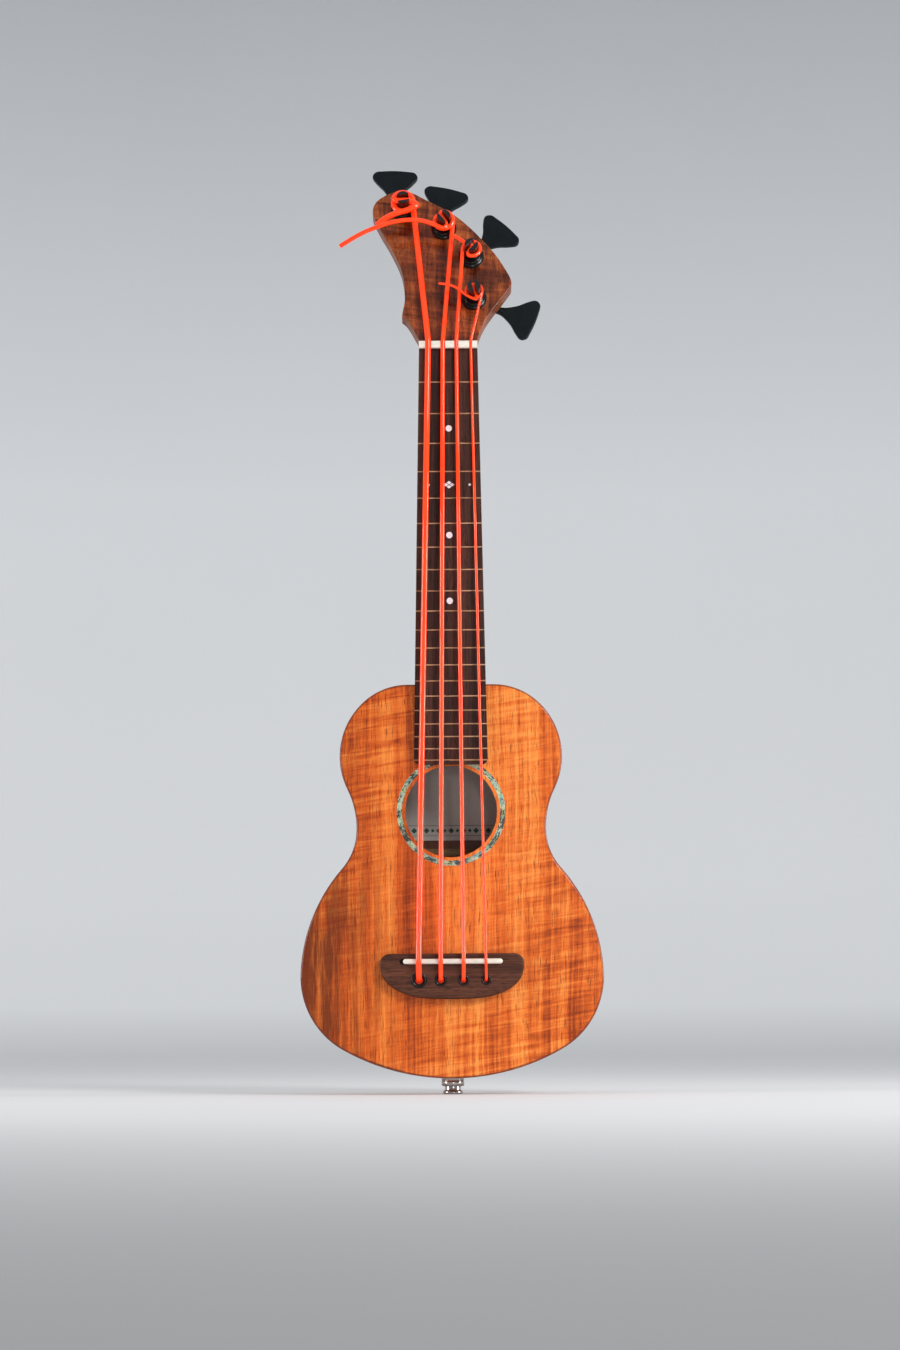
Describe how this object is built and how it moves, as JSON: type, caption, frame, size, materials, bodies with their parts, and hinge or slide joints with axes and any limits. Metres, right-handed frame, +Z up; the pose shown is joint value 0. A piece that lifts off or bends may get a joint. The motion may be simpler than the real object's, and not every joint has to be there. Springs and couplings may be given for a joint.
{
  "type": "bass ukulele",
  "caption": "Small acoustic bass with a waisted hollow body, round soundhole, fretless lined neck, thick soft strings, slotted-post worm tuners and an end jack",
  "frame": {"origin": "mouth of the output jack at the tail, on the centreline", "axes": "+Z up the neck, face towards -Y, +X to the treble side"},
  "size_m": [0.2626, 0.0951, 0.8332],
  "materials": {
    "koa_top": "glossy lacquered koa with a cross curl in its figure",
    "headplate_koa": "glossy dark red-brown koa veneer",
    "neck_wood": "satin mahogany",
    "inner_wood": "raw unfinished wood",
    "rosewood": "oiled dark rosewood with open pores",
    "maple_line": "pale wood line, flush",
    "abalone": "polished abalone shell strip",
    "pearl": "polished mother of pearl",
    "bone": "polished bone",
    "string_rubber": "glossy orange-red polyurethane",
    "black_bush": "black rubber bush",
    "black_metal": "black plated, semi-gloss",
    "gear_brass": "machined brass",
    "worm_steel": "blackened steel",
    "nickel": "polished nickel",
    "pickup_metal": "braided shield of the piezo strip",
    "label_paper": "matt printed paper"
  },
  "bodies": {
    "root": {"soundboard": "koa_top", "rosette": "abalone", "side_treble": "koa_top", "side_bass": "koa_top", "back_plate": "koa_top", "neck_block": "inner_wood", "tail_block": "inner_wood", "top_linings": "inner_wood", "back_linings": "inner_wood", "bridge_plate": "inner_wood", "top_braces": "inner_wood", "back_braces": "inner_wood", "label": "label_paper", "neck": "neck_wood", "headplate": "headplate_koa", "fingerboard": "rosewood", "fret_lines": "maple_line", "position_marks": "pearl", "nut": "bone", "bridge": "rosewood", "string_bushes": "black_bush", "pickup_strip": "pickup_metal", "saddle": "bone", "string_knots": "string_rubber", "jack_barrel": "nickel", "strap_button": "nickel", "jack_flange": "nickel", "jack_inner_nut": "nickel", "tuner_bushings": "black_metal", "tuner_screws": "black_metal", "string_e": "string_rubber", "string_e_tail": "string_rubber", "tuner_base_e": "black_metal", "string_a": "string_rubber", "string_a_tail": "string_rubber", "tuner_base_a": "black_metal", "string_d": "string_rubber", "string_d_tail": "string_rubber", "tuner_base_d": "black_metal", "string_g": "string_rubber", "string_g_tail": "string_rubber", "tuner_base_g": "black_metal"},
    "post_e": {"tuner_post_e": "black_metal", "tuner_wheel_e": "gear_brass"},
    "key_e": {"tuner_worm_e": "worm_steel", "tuner_key_e": "black_metal"},
    "post_a": {"tuner_post_a": "black_metal", "tuner_wheel_a": "gear_brass"},
    "key_a": {"tuner_worm_a": "worm_steel", "tuner_key_a": "black_metal"},
    "post_d": {"tuner_post_d": "black_metal", "tuner_wheel_d": "gear_brass"},
    "key_d": {"tuner_worm_d": "worm_steel", "tuner_key_d": "black_metal"},
    "post_g": {"tuner_post_g": "black_metal", "tuner_wheel_g": "gear_brass"},
    "key_g": {"tuner_worm_g": "worm_steel", "tuner_key_g": "black_metal"}
  },
  "joints": [
    {"name": "key_e_turn", "type": "hinge", "parent": "root", "child": "key_e", "pos_m": [-0.04889, 0.02061, 0.77983], "axis": [0.0349, 0.2922, 0.9557], "continuous": true},
    {"name": "post_e_turn", "type": "hinge", "parent": "root", "child": "post_e", "pos_m": [-0.0393, -0.00282, 0.78664], "axis": [0, -0.9563, 0.2924], "continuous": true},
    {"name": "key_a_turn", "type": "hinge", "parent": "root", "child": "key_a", "pos_m": [-0.01251, 0.01555, 0.76328], "axis": [0.2419, 0.2837, 0.9279], "continuous": true},
    {"name": "post_a_turn", "type": "hinge", "parent": "root", "child": "post_a", "pos_m": [-0.0032, -0.00847, 0.76819], "axis": [0, -0.9563, 0.2924], "continuous": true},
    {"name": "key_d_turn", "type": "hinge", "parent": "root", "child": "key_d", "pos_m": [0.01431, 0.00829, 0.73953], "axis": [0.7071, 0.2067, 0.6762], "continuous": true},
    {"name": "post_d_turn", "type": "hinge", "parent": "root", "child": "post_d", "pos_m": [0.0211, -0.01703, 0.74017], "axis": [0, -0.9563, 0.2924], "continuous": true},
    {"name": "key_g_turn", "type": "hinge", "parent": "root", "child": "key_g", "pos_m": [0.02654, -0.00347, 0.70106], "axis": [0.9336, -0.1048, -0.3427], "continuous": true},
    {"name": "post_g_turn", "type": "hinge", "parent": "root", "child": "post_g", "pos_m": [0.0231, -0.02943, 0.69962], "axis": [0, -0.9563, 0.2924], "continuous": true}
  ],
  "couplings": [
    {"joint": "post_e_turn", "follows": "key_e_turn", "ratio": 0.05},
    {"joint": "post_a_turn", "follows": "key_a_turn", "ratio": 0.05},
    {"joint": "post_d_turn", "follows": "key_d_turn", "ratio": 0.05},
    {"joint": "post_g_turn", "follows": "key_g_turn", "ratio": 0.05}
  ]
}
